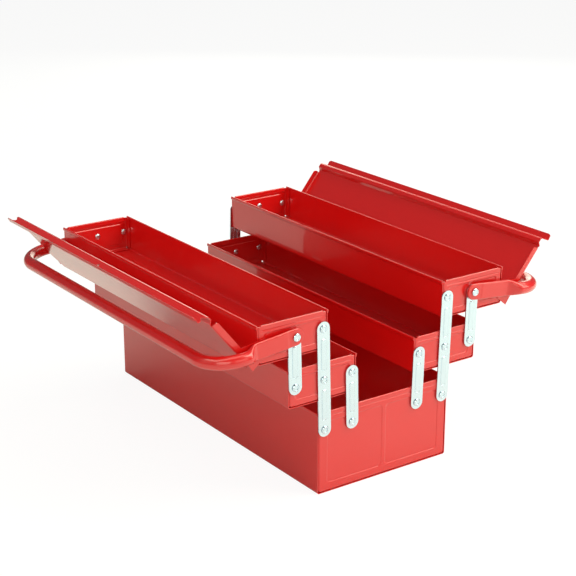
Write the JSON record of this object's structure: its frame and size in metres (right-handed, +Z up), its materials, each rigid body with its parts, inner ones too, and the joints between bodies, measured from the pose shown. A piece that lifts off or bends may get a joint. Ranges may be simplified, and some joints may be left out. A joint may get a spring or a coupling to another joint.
{
  "type": "carpenter toolbox",
  "caption": "Cantilever steel toolbox, open: deep base, trays stepping up and out on riveted links, folding lids and tubular handles.",
  "frame": {"origin": "middle of the base's underside, on the ground", "axes": "X along the box's length, near end at +X; +Y towards the right trays; +Z up"},
  "size_m": [0.509, 0.5354, 0.2621],
  "materials": {
    "red_paint": "gloss red powder coat on sheet steel",
    "zinc": "bright zinc plate"
  },
  "bodies": {
    "base": {"base_trough": "red_paint", "base_end_near": "red_paint", "base_end_far": "red_paint", "left_base_outer_rivet_near": "zinc", "left_base_outer_rivet_far": "zinc", "left_base_inner_rivet_near": "zinc", "left_base_inner_rivet_far": "zinc", "right_base_outer_rivet_near": "zinc", "right_base_outer_rivet_far": "zinc", "right_base_inner_rivet_near": "zinc", "right_base_inner_rivet_far": "zinc"},
    "left_long_links": {"left_long_link_near": "zinc", "left_long_link_far": "zinc"},
    "left_inner_links": {"left_inner_link_near": "zinc", "left_inner_link_far": "zinc"},
    "left_lower_tray": {"left_lower_trough": "red_paint", "left_lower_end_near": "red_paint", "left_lower_end_far": "red_paint", "left_lower_middle_rivet_near": "zinc", "left_lower_middle_rivet_far": "zinc", "left_lower_inner_rivet_near": "zinc", "left_lower_inner_rivet_far": "zinc", "left_lower_outer_rivet_near": "zinc", "left_lower_outer_rivet_far": "zinc"},
    "left_outer_links": {"left_outer_link_near": "zinc", "left_outer_link_far": "zinc"},
    "left_upper_tray": {"left_upper_trough": "red_paint", "left_upper_end_near": "red_paint", "left_upper_end_far": "red_paint", "left_upper_rivet_near": "zinc", "left_upper_rivet_far": "zinc", "left_handle_rivet_near": "zinc", "left_handle_rivet_far": "zinc"},
    "left_lid": {"left_lid_panel": "red_paint"},
    "left_handle": {"left_handle_tube": "red_paint"},
    "right_long_links": {"right_long_link_near": "zinc", "right_long_link_far": "zinc"},
    "right_inner_links": {"right_inner_link_near": "zinc", "right_inner_link_far": "zinc"},
    "right_lower_tray": {"right_lower_trough": "red_paint", "right_lower_end_near": "red_paint", "right_lower_end_far": "red_paint", "right_lower_middle_rivet_near": "zinc", "right_lower_middle_rivet_far": "zinc", "right_lower_inner_rivet_near": "zinc", "right_lower_inner_rivet_far": "zinc", "right_lower_outer_rivet_near": "zinc", "right_lower_outer_rivet_far": "zinc"},
    "right_outer_links": {"right_outer_link_near": "zinc", "right_outer_link_far": "zinc"},
    "right_upper_tray": {"right_upper_trough": "red_paint", "right_upper_end_near": "red_paint", "right_upper_end_far": "red_paint", "right_upper_rivet_near": "zinc", "right_upper_rivet_far": "zinc", "right_handle_rivet_near": "zinc", "right_handle_rivet_far": "zinc"},
    "right_lid": {"right_lid_panel": "red_paint"},
    "right_handle": {"right_handle_tube": "red_paint"}
  },
  "joints": [
    {"name": "left_trays_fold", "type": "hinge", "parent": "base", "child": "left_long_links", "pos_m": [0, -0.091, 0.084], "axis": [-1, 0, 0], "range_deg": [0, 40]},
    {"name": "left_inner_links_turn", "type": "hinge", "parent": "base", "child": "left_inner_links", "pos_m": [0, -0.05, 0.084], "axis": [-1, 0, 0], "range_deg": [0, 40]},
    {"name": "left_lower_tray_level", "type": "hinge", "parent": "left_long_links", "child": "left_lower_tray", "pos_m": [0, -0.09267, 0.14798], "axis": [-1, 0, 0], "range_deg": [-40, 0]},
    {"name": "left_upper_tray_level", "type": "hinge", "parent": "left_long_links", "child": "left_upper_tray", "pos_m": [0, -0.09435, 0.21196], "axis": [-1, 0, 0], "range_deg": [-40, 0]},
    {"name": "left_outer_links_turn", "type": "hinge", "parent": "left_lower_tray", "child": "left_outer_links", "pos_m": [0, -0.13367, 0.14798], "axis": [-1, 0, 0], "range_deg": [0, 40]},
    {"name": "left_handle_lift", "type": "hinge", "parent": "left_upper_tray", "child": "left_handle", "pos_m": [0, -0.13535, 0.21196], "axis": [-1, 0, 0], "range_deg": [0, 117.4]},
    {"name": "left_lid_close", "type": "hinge", "parent": "left_upper_tray", "child": "left_lid", "pos_m": [0, -0.17635, 0.20996], "axis": [-1, 0, 0], "range_deg": [0, 119.5]},
    {"name": "right_trays_fold", "type": "hinge", "parent": "base", "child": "right_long_links", "pos_m": [0, 0.091, 0.084], "axis": [1, 0, 0], "range_deg": [0, 40]},
    {"name": "right_inner_links_turn", "type": "hinge", "parent": "base", "child": "right_inner_links", "pos_m": [0, 0.05, 0.084], "axis": [1, 0, 0], "range_deg": [0, 40]},
    {"name": "right_lower_tray_level", "type": "hinge", "parent": "right_long_links", "child": "right_lower_tray", "pos_m": [0, 0.09267, 0.14798], "axis": [1, 0, 0], "range_deg": [-40, 0]},
    {"name": "right_upper_tray_level", "type": "hinge", "parent": "right_long_links", "child": "right_upper_tray", "pos_m": [0, 0.09435, 0.21196], "axis": [1, 0, 0], "range_deg": [-40, 0]},
    {"name": "right_outer_links_turn", "type": "hinge", "parent": "right_lower_tray", "child": "right_outer_links", "pos_m": [0, 0.13367, 0.14798], "axis": [1, 0, 0], "range_deg": [0, 40]},
    {"name": "right_handle_lift", "type": "hinge", "parent": "right_upper_tray", "child": "right_handle", "pos_m": [0, 0.13535, 0.21196], "axis": [1, 0, 0], "range_deg": [0, 117.4]},
    {"name": "right_lid_close", "type": "hinge", "parent": "right_upper_tray", "child": "right_lid", "pos_m": [0, 0.17635, 0.20996], "axis": [1, 0, 0], "range_deg": [0, 119.5]}
  ],
  "couplings": [
    {"joint": "left_inner_links_turn", "follows": "left_trays_fold", "ratio": 1},
    {"joint": "left_lower_tray_level", "follows": "left_trays_fold", "ratio": -1},
    {"joint": "left_upper_tray_level", "follows": "left_trays_fold", "ratio": -1},
    {"joint": "left_outer_links_turn", "follows": "left_trays_fold", "ratio": 1},
    {"joint": "left_lid_close", "follows": "left_handle_lift", "ratio": 1.0179},
    {"joint": "right_inner_links_turn", "follows": "right_trays_fold", "ratio": 1},
    {"joint": "right_lower_tray_level", "follows": "right_trays_fold", "ratio": -1},
    {"joint": "right_upper_tray_level", "follows": "right_trays_fold", "ratio": -1},
    {"joint": "right_outer_links_turn", "follows": "right_trays_fold", "ratio": 1},
    {"joint": "right_lid_close", "follows": "right_handle_lift", "ratio": 1.0179}
  ]
}
